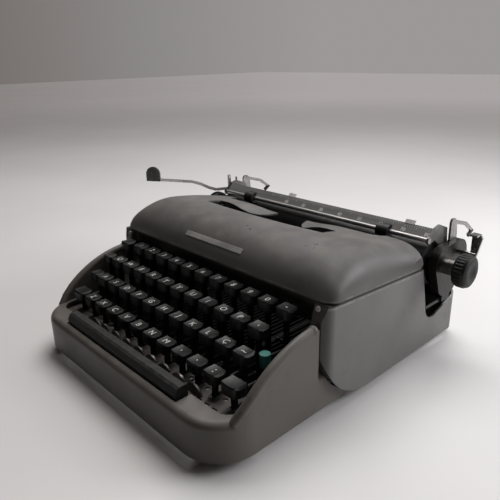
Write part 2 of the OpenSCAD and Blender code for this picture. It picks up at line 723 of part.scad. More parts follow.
// Outline of the carriage ends in Y and Z, grown or shrunk by g
module end_outline(g) {
    translate([platen_y + 4, platen_z]) circle(15 + g, $fn = 64);
    translate([platen_y + 28, platen_z + 2]) circle(14 + g, $fn = 64);
    translate([platen_y + 9, platen_z - 18]) circle(13 + g, $fn = 64);
    translate([platen_y + 16, platen_z - 18]) circle(13 + g, $fn = 64);
    polygon([[platen_y - 11 - g, platen_z], [platen_y + 4, platen_z + 15 + g],
        [platen_y + 28, platen_z + 16 + g], [platen_y + 42 + g, platen_z + 2],
        [platen_y + 40 + g, platen_z - 5.2 - g / 2], [platen_y + 27.2 + g, platen_z - 24.7 - g / 2],
        [platen_y + 16, platen_z - 31 - g], [platen_y + 9, platen_z - 31 - g],
        [platen_y - 3.5 - g, platen_z - 21.5], [platen_y - 10.4 - g, platen_z - 4]]);
}

// Fixed guide plate on each carriage end, with its finger reaching to the rear
module paper_guide_outline() {
    rear = platen_y + guide_reach;
    polygon([[platen_y + 19, platen_z + 10], [platen_y + 19, platen_z + 32], [platen_y + 21, platen_z + 34.6],
        [platen_y + 25, platen_z + 34.6], [platen_y + 28, platen_z + 32.4], [rear - 16, platen_z + 26.4],
        [rear, platen_z + 15], [rear - 8, platen_z + 10], [rear - 10, platen_z + 13],
        [rear - 5.5, platen_z + 15.4], [rear - 17, platen_z + 23.2], [platen_y + 29.4, platen_z + 28.4],
        [platen_y + 32, platen_z + 10]]);
}

// Carriage: end plates, hollow end covers, shoe on the rail, paper pan and paper table
module carriage_frame() {
    w = 2 * end_x;
    shoe_hw = end_x - 10;
    shoe_z = rail_z + rail_h + run_gap;
    color([0.55, 0.53, 0.49]) difference() {
        union() {
            both_sides() {
                difference() {
                    slab(end_x, end_plate_t + end_cover_w) end_outline(0);
                    slab(end_x + end_plate_t, end_cover_w - 1.6) end_outline(-1.6);
                }
                slab(end_x, end_plate_t) translate([platen_y + 14, shoe_z])
                    square([13, platen_z - 12 - shoe_z]);
                rod(bail_arm_x - 0.8, end_x + 1, bail_pivot_y, bail_pivot_z, hinge_d);
                slab(end_x, 2) paper_guide_outline();
                difference() {
                    rod(cover_x - 1, cover_x + knob_gap - 0.8, platen_y, platen_z, platen_shaft_d + 6);
                    rod(cover_x - 2, cover_x + knob_gap, platen_y, platen_z, platen_shaft_d + 1);
                }
            }
            translate([-end_x - 1, rail_y - 12, shoe_z]) cube([w + 2, 36, 3]);
            for (s = [-1, 1]) {
                leg = rail_w / 2 + run_gap;
                translate([-shoe_hw, rail_y + (s > 0 ? leg : -leg - 3), rail_z + 3]) cube([2 * shoe_hw, 3, 11]);
                translate([-shoe_hw, rail_y + (s > 0 ? leg - groove : -leg - 1), rail_z + 5 + run_gap])
                    cube([2 * shoe_hw, groove + 1, 2.6 - 2 * run_gap]);
            }
            difference() {
                rod(-end_x - 1, end_x + 1, platen_y, platen_z, platen_d + 2 * run_gap + 3);
                rod(-end_x - 2, end_x + 2, platen_y, platen_z, platen_d + 2 * run_gap);
                translate([-end_x - 2, platen_y - 40, platen_z - 8]) cube([w + 4, 80, 40]);
            }
            translate([-40, platen_y - 3, shoe_z])
                cube([80, 6, platen_z - platen_d / 2 - run_gap - 0.6 - shoe_z]);
            slab(5 - platen_len / 2, platen_len - 10) polygon([[platen_y + 20, platen_z - 12],
                [platen_y + 21.5, platen_z - 12], [platen_y + 31, platen_z + 15],
                [platen_y + 29.5, platen_z + 15]]);
            slab(-end_x - 1, w + 2) polygon([[platen_y + 16, shoe_z], [platen_y + 26, shoe_z],
                [platen_y + 24, platen_z - 9], [platen_y + 20, platen_z - 9]]);
            translate([return_x, return_y, return_z - 4]) cylinder(h = 12, d = return_pin_d);
            translate([return_x, return_y, return_z]) cylinder(h = 18, d = return_pin_d / 2);
            translate([return_x - 1.2, return_y - 12.5, return_z - 5]) cube([2.4, 3, 27]);
        }
        rod(-cover_x - 1, cover_x + 1, platen_y, platen_z, platen_shaft_d + 2 * pin_play);
        rod(end_x - 2, cover_x + 1, release_y, release_z, release_d + 2 * pin_play);
    }
}

module platen() {
    color([0.07, 0.07, 0.07]) {
        rod(-platen_len / 2, platen_len / 2, platen_y, platen_z, platen_d);
        rod(-knob_x - knob_seat, knob_x + knob_seat, platen_y, platen_z, platen_shaft_d);
    }
}

// Knob turned with a rounded rim and finger flutes, seated on the platen shaft
module knob() {
    r = knob_d / 2;
    difference() {
        rotate_extrude($fn = 96) difference() {
            union() {
                polygon([[platen_shaft_d / 2, 0], [r - 4, 0], [r - 1.2, 1.4], [r, 4], [r, knob_w - 4],
                    [r - 1.4, knob_w - 1.2], [r - 4, knob_w], [0, knob_w], [0, knob_seat],
                    [platen_shaft_d / 2, knob_seat]]);
            }
            translate([0, knob_w + 18.6]) circle(20);
        }
        for (k = [0:29]) rotate([0, 0, 12 * k]) translate([r + 0.9, 0, -1]) cylinder(h = knob_w + 2, d = 2.8);
    }
}

module platen_knobs() {
    color([0.1, 0.14, 0.13]) both_sides()
        translate([knob_x, platen_y, platen_z]) rotate([0, 90, 0]) knob();
}

// Bail: rod and rollers on the platen, scale strip above the rod, two arms on pivots behind
module paper_bail() {
    a = bail_arm_x;
    color([0.5, 0.5, 0.5]) {
        rod(-a - 1, a + 1, bail_y, bail_z, bail_rod_d);
        for (x = [-bail_roller_x, bail_roller_x] - [carriage_at, carriage_at])
            rod(x - bail_roller_len / 2, x + bail_roller_len / 2, bail_y, bail_z, 2 * bail_roller_r);
        slab(-a - 0.5, 2 * a + 1) polygon([[bail_y - 0.6, bail_z + 0.8], [bail_y + 0.6, bail_z - 0.4],
            [bail_y + 8.6, bail_z + 7.6], [bail_y + 7.4, bail_z + 8.8]]);
        both_sides() slab(a, bail_arm_t) difference() {
            union() {
                translate([bail_y, bail_z]) circle(3.4);
                translate([bail_pivot_y, bail_pivot_z]) circle(5);
                polygon([[bail_y - 3, bail_z + 1], [bail_y + 7, bail_z + 9.6], [bail_y + 15, bail_z + 11],
                    [bail_pivot_y + 2, bail_pivot_z + 18], [bail_pivot_y + 5, bail_pivot_z],
                    [bail_pivot_y - 5, bail_pivot_z], [bail_pivot_y - 9, bail_pivot_z + 4],
                    [bail_y + 8, bail_z - 1], [bail_y + 2, bail_z - 3]]);
            }
            translate([bail_pivot_y, bail_pivot_z]) circle(d = hinge_d + 2 * pin_play);
        }
    }
}

// Return lever: hub on a pin, bar that dips and rises outward, upright finger plate
module return_lever() {
    paddle = return_reach - 12;
    color([0.8, 0.8, 0.8]) translate([return_x, return_y, 0]) {
        difference() {
            translate([0, 0, return_z]) cylinder(h = 6.5, d = 11);
            translate([0, 0, return_z - 1]) cylinder(h = 10, d = return_pin_d + 2 * pin_play);
        }
        rotate([0, 0, return_angle]) rotate([90, 0, 0]) translate([0, 0, -return_t / 2])
            linear_extrude(return_t) union() {
                polygon([[4, return_z + 2.8], [4, return_z + 5.8], [18, return_z + 4], [26, return_z + 2.9],
                    [34, return_z + 4.6], [45, return_z + 8.8], [56, return_z + 11.2],
                    [paddle, return_z + 11.9], [paddle, return_z + 9], [56, return_z + 8.3],
                    [45, return_z + 5.8], [34, return_z + 1.6], [26, return_z], [18, return_z + 1]]);
                translate([return_reach - 9, return_z + 17.2]) circle(9);
                translate([return_reach - 18, return_z + 8.4]) square([18, 8.8]);
            }
    }
}

// Release lever: shaft in the end plate and a finger plate that faces the typist
module carriage_release_lever() {
    x1 = cover_x + release_gap;
    color([0.7, 0.7, 0.69]) {
        rod(end_x + 0.6, x1 + 5, release_y, release_z, release_d);
        translate([x1, release_y + 1.2, release_z]) rotate([90, 0, 0]) linear_extrude(2.4) union() {
            polygon([[0, -3], [5, -3], [9, 16], [7, 20], [0, 20]]);
            translate([2.5, -3]) circle(2.5);
        }
        translate([x1, release_y - 7, release_z + 18.4]) cube([7, 7, 1.6]);
    }
}

// Moves a piece of the body, or one that rides on the carriage, to its place
module placed() {
    translate([-middle_x, -middle_y, 0]) children();
}

module on_carriage() {
    translate([carriage_at - middle_x, -middle_y, 0]) children();
}

placed() base_frame();
placed() rubber_feet();
placed() body_shell();
placed() chassis();
placed() type_basket();
placed() top_cover();
on_carriage() carriage_frame();
on_carriage() platen();
on_carriage() platen_knobs();
on_carriage() paper_bail();
on_carriage() return_lever();
on_carriage() carriage_release_lever();
placed() space_bar();
placed() shift_keys();
placed() backspace_key();
placed() margin_release_key();
placed() ribbon_selector();
for (r = [0:3]) for (i = [0:row_count[r] - 1])
    placed() typing_key(r, i);
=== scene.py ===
"""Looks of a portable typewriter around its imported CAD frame. Metres, X right, Y back, Z up."""

import math

import bmesh
import bpy
from mathutils import Matrix, Vector


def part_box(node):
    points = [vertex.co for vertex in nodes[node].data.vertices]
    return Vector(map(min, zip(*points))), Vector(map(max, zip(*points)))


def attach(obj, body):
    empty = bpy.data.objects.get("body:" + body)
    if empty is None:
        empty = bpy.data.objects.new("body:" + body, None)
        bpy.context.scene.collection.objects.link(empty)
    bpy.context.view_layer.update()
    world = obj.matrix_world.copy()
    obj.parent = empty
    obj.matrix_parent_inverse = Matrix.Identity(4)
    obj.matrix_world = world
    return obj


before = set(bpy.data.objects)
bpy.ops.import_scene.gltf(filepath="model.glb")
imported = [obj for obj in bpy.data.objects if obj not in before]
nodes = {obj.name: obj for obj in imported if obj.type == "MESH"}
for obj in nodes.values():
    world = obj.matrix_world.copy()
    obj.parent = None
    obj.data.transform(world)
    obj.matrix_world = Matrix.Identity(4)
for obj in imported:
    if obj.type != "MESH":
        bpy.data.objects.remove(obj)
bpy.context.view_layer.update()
MM = 0.001
AXES = "XYZ"

# Lengths and places are in millimetres, and places count from the middle of the body, on the table.
# The frame's origin is under the middle of the whole outline instead, so place() adds BODY.
SHELL_REAR = 150
shell_low, shell_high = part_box("body_shell")
BODY = Vector(((shell_low.x + shell_high.x) / 2, shell_high.y - SHELL_REAR * MM, 0))

# Seam between shell and cover, which falls towards the back
SEAM_FRONT_Y = -43
SEAM_FRONT_Z = 91
SEAM_FALL = 7 / 121

# Keyboard: plane just under the key tops, rear limit of the front plate, button of the ribbon switch
FRONT_ROW_Y = -109
UNDER_FRONT_ROW_Z = 38.8
ROW_SLOPE = 11.1 / 19.05
FRONT_PLATE_REAR = -104.4
BUTTON_X = 107
BUTTON_Y = -81
BUTTON_R = 4.3

# Carriage at rest: its middle, limits of its pieces to either side of that, and limits in height
CARRIAGE_X = 1.5
END_PLATE_INNER = 130.3
GUIDE_OUTER = 132.7
PIN_INNER = 132.8
END_COVER_OUTER = 138.1
END_COVER_BOTTOM = 52.9
END_COVER_TOP = 100.2
PLATEN_Y = 99
PLATEN_Z = 84
HUB_R = 7.3

# Paper bail: axis of its rod and rollers, arms, and the line on its strip where the scale starts
BAIL_Y = 89.5
BAIL_Z = 105.5
BAIL_ROD_R = 2.3
BAIL_ROLLER_R = 6.4
BAIL_ROLLER_HALF = 6.1
BAIL_ROLLERS = (-86, 86)
BAIL_ARM_INNER = 127.1
STRIP_FOOT_Y = 88.9
STRIP_FOOT_Z = 106.3

# Return lever: its pin, and where the grip starts, as a distance from there
RETURN_PIN_X = CARRIAGE_X - 135.75
RETURN_PIN_Y = 111
GRIP_START = 97.5

# Colours that several looks share, and the chips in the cover's paint as places and radii
GREY = (0.118, 0.113, 0.110)
DUST = (0.36, 0.34, 0.31)
BARE_METAL = (0.52, 0.50, 0.46)
CHIP_BLACK = (0.035, 0.032, 0.03)
# Painted shade for the gap at the seam between shell and cover
SEAM_SHADE = (0.012, 0.011, 0.010)
STUDIO_WHITE = (1.0, 0.955, 0.945)
CHIPS = (
    ((17.2, -12, 117.8), 1.5),
    ((24, -15.5, 117), 1.3),
    ((90, -9.5, 118.3), 2.4),
    ((85.5, -15.5, 117.1), 1.3),
    ((92.8, -15, 117.2), 1.3),
)


def place(x, y, z):
    return BODY + Vector((x, y, z)) * MM


def toned(colour, factor):
    """A colour made darker or lighter."""
    return tuple(c * factor for c in colour)


# Node helpers


class Shader:
    """A material with a Principled shader and short calls for the nodes around it."""

    def __init__(self, name, **sockets):
        self.mat = bpy.data.materials.new(name)
        self.mat.use_nodes = True
        self.tree = self.mat.node_tree
        self.bsdf = self.tree.nodes["Principled BSDF"]
        self.where = self.add("ShaderNodeTexCoord").outputs["Object"]
        self.set(**sockets)

    @classmethod
    def over(cls, mat):
        """A finished material again, to paint over its colour, which is then in base."""
        s = cls.__new__(cls)
        s.mat = mat
        s.tree = mat.node_tree
        s.bsdf = s.tree.nodes["Principled BSDF"]
        s.where = s.add("ShaderNodeTexCoord").outputs["Object"]
        s.base = s.source("Base Color")
        return s

    def add(self, kind, **settings):
        n = self.tree.nodes.new(kind)
        for key, value in settings.items():
            setattr(n, key, value)
        return n

    def put(self, socket, value):
        """Links a socket to another one or sets its value; a colour gets its fourth number here."""
        if isinstance(value, bpy.types.NodeSocket):
            self.tree.links.new(value, socket)
        elif socket.type == "RGBA":
            socket.default_value = (*value, 1.0)
        else:
            socket.default_value = value

    def set(self, **sockets):
        for key, value in sockets.items():
            self.put(self.bsdf.inputs[key.replace("_", " ")], value)
        return self.mat

    def source(self, name):
        """The socket that one of the shader's inputs is linked to."""
        return self.bsdf.inputs[name].links[0].from_socket

    def math(self, op, a, b=0.0):
        n = self.add("ShaderNodeMath", operation=op)
        self.put(n.inputs[0], a)
        self.put(n.inputs[1], b)
        return n.outputs[0]

    def times(self, a, b):
        return self.math("MULTIPLY", a, b)

    def mix(self, fac, a, b):
        n = self.add("ShaderNodeMix", data_type="RGBA")
        self.put(n.inputs[0], fac)
        self.put(n.inputs[6], a)
        self.put(n.inputs[7], b)
        return n.outputs[2]

    def noise(self, scale, detail=3.0, rough=0.55, stretch=None, seed=0.0):
        where = self.where
        if stretch or seed:
            m = self.add("ShaderNodeMapping")
            self.put(m.inputs["Vector"], where)
            m.inputs["Scale"].default_value = stretch or (1, 1, 1)
            m.inputs["Location"].default_value = (seed, seed * 0.7, seed * 1.3)
            where = m.outputs["Vector"]
        n = self.add("ShaderNodeTexNoise")
        self.put(n.inputs["Vector"], where)
        n.inputs["Scale"].default_value = scale
        n.inputs["Detail"].default_value = detail
        n.inputs["Roughness"].default_value = rough
        return n.outputs["Fac"]

    def ramp(self, value, low, high, out_low=0.0, out_high=1.0):
        """Smooth change from one output to another while a value goes from low to high."""
        n = self.add("ShaderNodeMapRange", interpolation_type="SMOOTHSTEP")
        self.put(n.inputs["Value"], value)
        for key, v in (("From Min", low), ("From Max", high), ("To Min", out_low), ("To Max", out_high)):
            n.inputs[key].default_value = v
        return n.outputs["Result"]

    def cloud(self, scale, out_low=0.0, out_high=1.0, **noise):
        """Soft patches of noise between two outputs."""
        return self.ramp(self.noise(scale, **noise), 0.3, 0.7, out_low, out_high)

    def patches(self, scale, dark, light, **noise):
        """Two colours that run into each other in soft patches."""
        return self.mix(self.cloud(scale, **noise), dark, light)

    def axis(self, letter):
        n = self.add("ShaderNodeSeparateXYZ")
        self.put(n.inputs[0], self.where)
        return n.outputs[letter]

    def facing(self, letter):
        n = self.add("ShaderNodeSeparateXYZ")
        self.put(n.inputs[0], self.add("ShaderNodeTexCoord").outputs["Normal"])
        return n.outputs[letter]

    def edges(self, radius):
        """How close a point is to a sharp outer or inner edge, up to a radius in millimetres."""
        b = self.add("ShaderNodeBevel", samples=4)
        b.inputs["Radius"].default_value = radius * MM
        d = self.add("ShaderNodeVectorMath", operation="DOT_PRODUCT")
        self.put(d.inputs[0], b.outputs["Normal"])
        self.put(d.inputs[1], self.add("ShaderNodeNewGeometry").outputs["Normal"])
        return self.ramp(self.math("SUBTRACT", 1.0, d.outputs["Value"]), 0.03, 0.3)

    def bump(self, height, depth, strength):
        """Fine relief with a depth in millimetres."""
        n = self.add("ShaderNodeBump")
        n.inputs["Distance"].default_value = depth * MM
        n.inputs["Strength"].default_value = strength
        self.put(n.inputs["Height"], height)
        self.put(self.bsdf.inputs["Normal"], n.outputs["Normal"])

    def near(self, at, radius):
        """1 close to a place on the piece, 0 beyond a radius."""
        n = self.add("ShaderNodeVectorMath", operation="DISTANCE")
        self.put(n.inputs[0], self.where)
        n.inputs[1].default_value = place(*at)
        return self.ramp(n.outputs["Value"], radius * 0.75 * MM, radius * MM, 1.0, 0.0)

    def within(self, letter, low=None, high=None):
        """1 where a coordinate lies between two bounds, of which one can be left out."""
        offset = BODY[AXES.index(letter)]
        value, out = self.axis(letter), None
        for bound, op in ((low, "GREATER_THAN"), (high, "LESS_THAN")):
            if bound is not None:
                test = self.math(op, value, bound * MM + offset)
                out = test if out is None else self.times(out, test)
        return out

    def between_ends(self, x):
        """1 closer than x to the carriage's middle."""
        return self.within("X", CARRIAGE_X - x, CARRIAGE_X + x)

    def beyond_ends(self, x):
        """1 farther than x from the carriage's middle, at either end."""
        return self.math("ADD", self.within("X", high=CARRIAGE_X - x), self.within("X", low=CARRIAGE_X + x))

    def from_axis(self, letter, a, b):
        """Distance in metres from a line along one axis; a and b are the line's other two coordinates."""
        flat = self.add("ShaderNodeCombineXYZ")
        line = dict(zip(AXES.replace(letter, ""), (a, b)))
        for c in line:
            self.put(flat.inputs[c], self.axis(c))
        n = self.add("ShaderNodeVectorMath", operation="DISTANCE")
        self.put(n.inputs[0], flat.outputs[0])
        n.inputs[1].default_value = [line[c] * MM + BODY[i] if c in line else 0 for i, c in enumerate(AXES)]
        return n.outputs["Value"]

    def plane_height(self, y, z, rise):
        """Height in metres of a plane through y and z that rises towards the back."""
        run = self.math("SUBTRACT", self.axis("Y"), y * MM + BODY.y)
        return self.math("ADD", self.times(run, rise), z * MM)

    def below_seam(self):
        """Millimetres below the sloping seam between shell and cover."""
        seam = self.plane_height(SEAM_FRONT_Y, SEAM_FRONT_Z, -SEAM_FALL)
        return self.math("DIVIDE", self.math("SUBTRACT", seam, self.axis("Z")), MM)


# Kinds of surface


def painted(name, colour, rough, wear=0.8, dirt=0.5, shine=0.5, chips=()):
    """Old stove enamel: cloudy tone, stains, specks, dust on top faces, a painted highlight along every
    edge, bare metal on worn edges.
    """
    s = Shader(name, Specular_IOR_Level=shine)
    base = s.patches(9.0, toned(colour, 0.9), toned(colour, 1.08), detail=4.0)
    stain = s.ramp(s.noise(34.0, detail=5.0, rough=0.62, seed=3.0), 0.56, 0.74)
    base = s.mix(s.times(stain, dirt), base, toned(colour, 0.62))
    dust = s.times(s.ramp(s.facing("Z"), 0.5, 1.0), s.ramp(s.noise(60.0, detail=4.0), 0.35, 0.8, 0.0, 0.22))
    base = s.mix(dust, base, DUST)
    speck = s.ramp(s.noise(520.0, detail=2.0, rough=0.5, seed=8.0), 0.70, 0.76, 0.0, 0.35)
    base = s.mix(speck, base, toned(colour, 0.55))
    edge = s.edges(1.1)
    # Painted highlight: every edge is made a little lighter.
    base = s.mix(s.times(edge, 0.3), base, toned(colour, 1.7))
    bare = s.times(edge, s.ramp(s.noise(130.0, detail=5.0, rough=0.7, seed=5.0), 0.52, 0.66, 0.0, wear))
    base = s.mix(bare, base, BARE_METAL)
    for at, radius in chips:
        hole = s.times(s.near(at, radius), s.ramp(s.noise(420.0, seed=1.0), 0.42, 0.5))
        base = s.mix(hole, base, CHIP_BLACK)
    grain = s.times(s.noise(900.0, detail=2.0, rough=0.5), 0.35)
    s.bump(s.math("ADD", grain, s.noise(70.0, detail=2.0)), 0.12, 0.35)
    gloss = s.cloud(26.0, rough - 0.07, rough + 0.08, detail=4.0, seed=2.0)
    return s.set(
        Base_Color=base,
        Roughness=s.math("ADD", gloss, s.times(dust, 0.5)),
        Metallic=s.times(bare, 0.7))


def plastic(name, colour, rough, dust=0.35, shine=0.5):
    """Smooth moulding or satin plating: dust on top faces, edges rubbed pale."""
    s = Shader(name, Specular_IOR_Level=shine)
    base = s.patches(60.0, toned(colour, 0.8), toned(colour, 1.25))
    lint = s.ramp(s.noise(240.0, detail=4.0, rough=0.6), 0.3, 0.75, dust * 0.3, dust)
    lint = s.times(s.ramp(s.facing("Z"), 0.3, 0.95), lint)
    base = s.mix(lint, base, (0.10, 0.10, 0.095))
    rim = s.times(s.edges(0.5), s.ramp(s.noise(300.0, seed=4.0), 0.4, 0.65, 0.05, 0.5))
    base = s.mix(rim, base, (0.13, 0.13, 0.125))
    s.bump(s.noise(700.0, detail=2.0), 0.08, 0.25)
    gloss = s.cloud(120.0, rough - 0.05, rough + 0.08, seed=2.0)
    return s.set(Base_Color=base, Roughness=s.math("ADD", gloss, s.times(lint, 0.3)))


def metal(name, colour, rough, tarnish=0.3):
    """Plated or plain steel with dark, dull spots and a fine grain."""
    s = Shader(name, Metallic=1.0)
    spots = s.ramp(s.noise(85.0, detail=5.0, rough=0.65), 0.5, 0.75, 0.0, tarnish)
    base = s.mix(spots, colour, toned(colour, 0.35))
    grain = s.noise(260.0, rough=0.6, seed=6.0)
    base = s.mix(s.ramp(grain, 0.35, 0.7, 0.0, 0.25), base, toned(colour, 0.7))
    s.bump(grain, 0.06, 0.3)
    gloss = s.cloud(45.0, rough - 0.06, rough + 0.1, detail=4.0, seed=9.0)
    return s.set(Base_Color=base, Roughness=s.math("ADD", gloss, s.times(spots, 0.5)))


def rubber(name, colour, rough):
    s = Shader(name)
    base = s.patches(180.0, toned(colour, 0.7), toned(colour, 1.4), detail=4.0)
    s.bump(s.noise(800.0), 0.1, 0.3)
    return s.set(Base_Color=base, Roughness=s.cloud(70.0, rough - 0.08, rough + 0.08, seed=2.0))


# Looks of single nodes


def bail_look():
    """Matt grey scale strip, bright rod, dull arms, black rollers; they differ by where they are."""
    s = Shader("bail_metal")
    off = s.from_axis("X", BAIL_Y, BAIL_Z)
    rod = s.math("LESS_THAN", off, BAIL_ROD_R * MM)
    left, right = (s.within("X", x - BAIL_ROLLER_HALF, x + BAIL_ROLLER_HALF) for x in BAIL_ROLLERS)
    black = s.times(s.math("ADD", left, right), s.math("LESS_THAN", off, BAIL_ROLLER_R * MM))
    arm = s.beyond_ends(BAIL_ARM_INNER)
    grain = s.noise(260.0, detail=4.0, rough=0.6, stretch=(0.05, 1, 1))
    strip = s.mix(s.ramp(grain, 0.3, 0.7), (0.150, 0.147, 0.146), (0.205, 0.200, 0.198))
    base = s.mix(arm, strip, s.patches(90.0, (0.11, 0.105, 0.10), (0.18, 0.175, 0.165), detail=4.0))
    base = s.mix(rod, base, (0.46, 0.45, 0.44))
    base = s.mix(black, base, s.patches(200.0, (0.010, 0.010, 0.011), (0.022, 0.022, 0.023)))
    s.bump(grain, 0.05, 0.3)
    steel = s.times(s.math("MAXIMUM", rod, arm), s.math("SUBTRACT", 1.0, black))
    rough = s.math("SUBTRACT", s.cloud(50.0, 0.42, 0.56, seed=3.0), s.times(steel, 0.12))
    return s.set(Base_Color=base, Roughness=rough, Metallic=s.times(steel, 0.7))


def chassis_look():
    """Black inside, dull nickel on the slotted plate in front of the keys."""
    s = Shader("frame_metal")
    front = s.within("Y", high=FRONT_PLATE_REAR)
    cloud = s.cloud(70.0, detail=4.0, rough=0.6)
    dark = s.mix(cloud, (0.004, 0.004, 0.005), (0.014, 0.014, 0.016))
    pale = s.mix(cloud, (0.12, 0.11, 0.105), (0.24, 0.22, 0.21))
    s.bump(s.noise(500.0), 0.1, 0.3)
    return s.set(
        Base_Color=s.mix(front, dark, pale),
        Metallic=s.times(front, s.ramp(s.noise(20.0), 0.2, 0.8, 0.5, 0.8)),
        Roughness=s.cloud(60.0, 0.36, 0.58, seed=2.0))


def carriage_look():
    """Gloss enamel on the end covers, black between and below them, steel guides and pin, dark hubs."""
    s = Shader.over(painted("carriage_paint", (0.010, 0.009, 0.008), 0.28, wear=0.4, dirt=0.8, shine=0.15))
    inner = s.math("MAXIMUM", s.between_ends(END_PLATE_INNER), s.within("Z", high=END_COVER_BOTTOM))
    above = s.within("Z", low=END_COVER_TOP)
    guide = s.times(s.between_ends(GUIDE_OUTER), above)
    pin = s.times(s.within("X", high=CARRIAGE_X - PIN_INNER), above)
    on_axis = s.math("LESS_THAN", s.from_axis("X", PLATEN_Y, PLATEN_Z), HUB_R * MM)
    hub = s.times(on_axis, s.beyond_ends(END_COVER_OUTER))
    grain = s.cloud(180.0, detail=4.0, seed=2.0)
    base = s.mix(inner, s.base, s.mix(grain, (0.006, 0.006, 0.007), (0.018, 0.018, 0.019)))
    base = s.mix(guide, base, s.mix(grain, (0.20, 0.195, 0.19), (0.32, 0.31, 0.30)))
    base = s.mix(pin, base, s.mix(grain, (0.34, 0.33, 0.32), (0.52, 0.51, 0.49)))
    base = s.mix(hub, base, s.mix(grain, (0.08, 0.077, 0.074), (0.15, 0.146, 0.14)))
    steel = s.math("MAXIMUM", guide, s.math("MAXIMUM", pin, hub))
    return s.set(Base_Color=base, Metallic=s.times(steel, 0.85))


def selector_look():
    """Black lever with a teal button."""
    s = Shader.over(plastic("selector_plastic", (0.018, 0.150, 0.125), 0.30, dust=0.1))
    button = s.math("LESS_THAN", s.from_axis("Z", BUTTON_X, BUTTON_Y), BUTTON_R * MM)
    black = s.patches(150.0, (0.008, 0.010, 0.010), (0.020, 0.024, 0.024))
    return s.set(Base_Color=s.mix(button, black, s.base))


def key_look():
    """Black key tops; the levers and posts under their slanting rows are matt and darker still."""
    s = Shader.over(plastic("key_plastic", (0.0045, 0.006, 0.006), 0.36, dust=0.08, shine=0.35))
    tops = s.plane_height(FRONT_ROW_Y, UNDER_FRONT_ROW_Z, ROW_SLOPE)
    under = s.math("LESS_THAN", s.axis("Z"), tops)
    dark = s.patches(90.0, (0.002, 0.002, 0.002), (0.004, 0.004, 0.004))
    return s.set(
        Base_Color=s.mix(under, s.base, dark),
        Roughness=s.math("MAXIMUM", s.source("Roughness"), s.times(under, 0.75)))


def seam_wear_and_shade(s, off, rub_start, rub_end, spots, rubbed, shade_start):
    """Spots of rubbed paint in a band along the seam and painted shade of the gap right at it; off is the
    distance from it.
    """
    band = s.times(s.ramp(off, *rub_start), s.ramp(off, *rub_end, 1.0, 0.0))
    base = s.mix(s.times(band, spots), s.base, rubbed)
    # Painted shade: the paint right at the seam is darkened, as the gap's shade.
    return s.mix(s.ramp(off, shade_start, 1.5, 0.95, 0.0), base, SEAM_SHADE)


def shell_look():
    """Body paint with painted shade in the seam under the cover, rubbed paint below it and painted shade on
    the front cheeks.
    """
    s = Shader.over(painted("shell_paint", GREY, 0.38))
    spots = s.ramp(s.noise(60.0, detail=5.0, rough=0.7, seed=7.0), 0.42, 0.62, 0.1, 0.6)
    base = seam_wear_and_shade(s, s.below_seam(), (1.0, 1.6), (2.2, 3.4), spots, (0.30, 0.30, 0.31), 0.7)
    # Painted shade: faces of the shell turned to the front are darkened.
    cheek_shade = s.ramp(s.facing("Y"), -0.75, -0.2, 0.75, 0.0)
    return s.set(Base_Color=s.mix(cheek_shade, base, (0.03, 0.028, 0.026)))


def cover_look():
    """Body paint, a little rubbed along the lower edge, with painted shade right at the seam, chipped on
    top.
    """
    paint = painted("cover_paint", toned(GREY, 0.93), 0.48, wear=0.5, shine=0.35, chips=CHIPS)
    s = Shader.over(paint)
    above = s.times(s.below_seam(), -1.0)
    spots = s.ramp(s.noise(80.0, detail=5.0, rough=0.7, seed=4.0), 0.45, 0.62, 0.0, 0.5)
    return s.set(Base_Color=seam_wear_and_shade(s, above, (1.2, 1.8), (2.2, 3.2), spots, (0.26, 0.25, 0.24), 0.8))


def tray_look():
    """Warmer paint than the shell's, with painted shade on the faces turned to the front."""
    s = Shader.over(painted("tray_paint", (0.112, 0.103, 0.094), 0.42, shine=0.3))
    # Painted shade: faces turned to the front are darkened, in soft patches.
    front = s.ramp(s.facing("Y"), -0.95, -0.4, 0.55, 0.0)
    front_shade = s.times(front, s.ramp(s.noise(12.0, detail=4.0, seed=6.0), 0.25, 0.7, 0.7, 1.0))
    return s.set(Base_Color=s.mix(front_shade, s.base, (0.030, 0.026, 0.023)))


def lever_look():
    """Dull plating on the return lever's bar, dark grip on its finger plate."""
    s = Shader.over(metal("lever_plating", (0.58, 0.57, 0.55), 0.20))
    grip = s.math("GREATER_THAN", s.from_axis("Z", RETURN_PIN_X, RETURN_PIN_Y), GRIP_START * MM)
    dark = s.patches(150.0, (0.050, 0.049, 0.048), (0.105, 0.103, 0.100))
    return s.set(
        Base_Color=s.mix(grip, s.base, dark),
        Metallic=s.math("SUBTRACT", 1.0, s.times(grip, 0.8)))


satin = plastic("satin_plating", (0.34, 0.33, 0.32), 0.34, dust=0.1)
legend_white = plastic("legend_white", (0.66, 0.66, 0.63), 0.4, dust=0.1)
scale_white = plastic("scale_white", (0.62, 0.62, 0.60), 0.5, dust=0.1)
key_plastic = key_look()
looks = {
    "base_frame": tray_look(),
    "body_shell": shell_look(),
    "top_cover": cover_look(),
    "carriage_frame": carriage_look(),
    "rubber_feet": rubber("foot_rubber", (0.012, 0.012, 0.012), 0.7),
    "chassis": chassis_look(),
    "type_basket": metal("type_steel", (0.14, 0.14, 0.145), 0.36, tarnish=0.5),
    "platen": rubber("platen_rubber", (0.007, 0.007, 0.0075), 0.5),
    "platen_knobs": plastic("knob_plastic", (0.004, 0.005, 0.0046), 0.52, dust=0.03, shine=0.3),
    "paper_bail": bail_look(),
    "return_lever": lever_look(),
    "carriage_release_lever": metal("release_plating", (0.40, 0.39, 0.37), 0.22),
    "space_bar": plastic("bar_plastic", (0.008, 0.008, 0.0085), 0.42, dust=0.4, shine=0.25),
    "ribbon_selector": selector_look(),
}
for name, obj in nodes.items():
    obj.data.materials.clear()
    obj.data.materials.append(looks.get(name, key_plastic))


# Shading of the pressed sheet, the carriage and the knobs

SMOOTH_ANGLE = 32
WELD = 0.02
PANEL_WEIGHT = 90


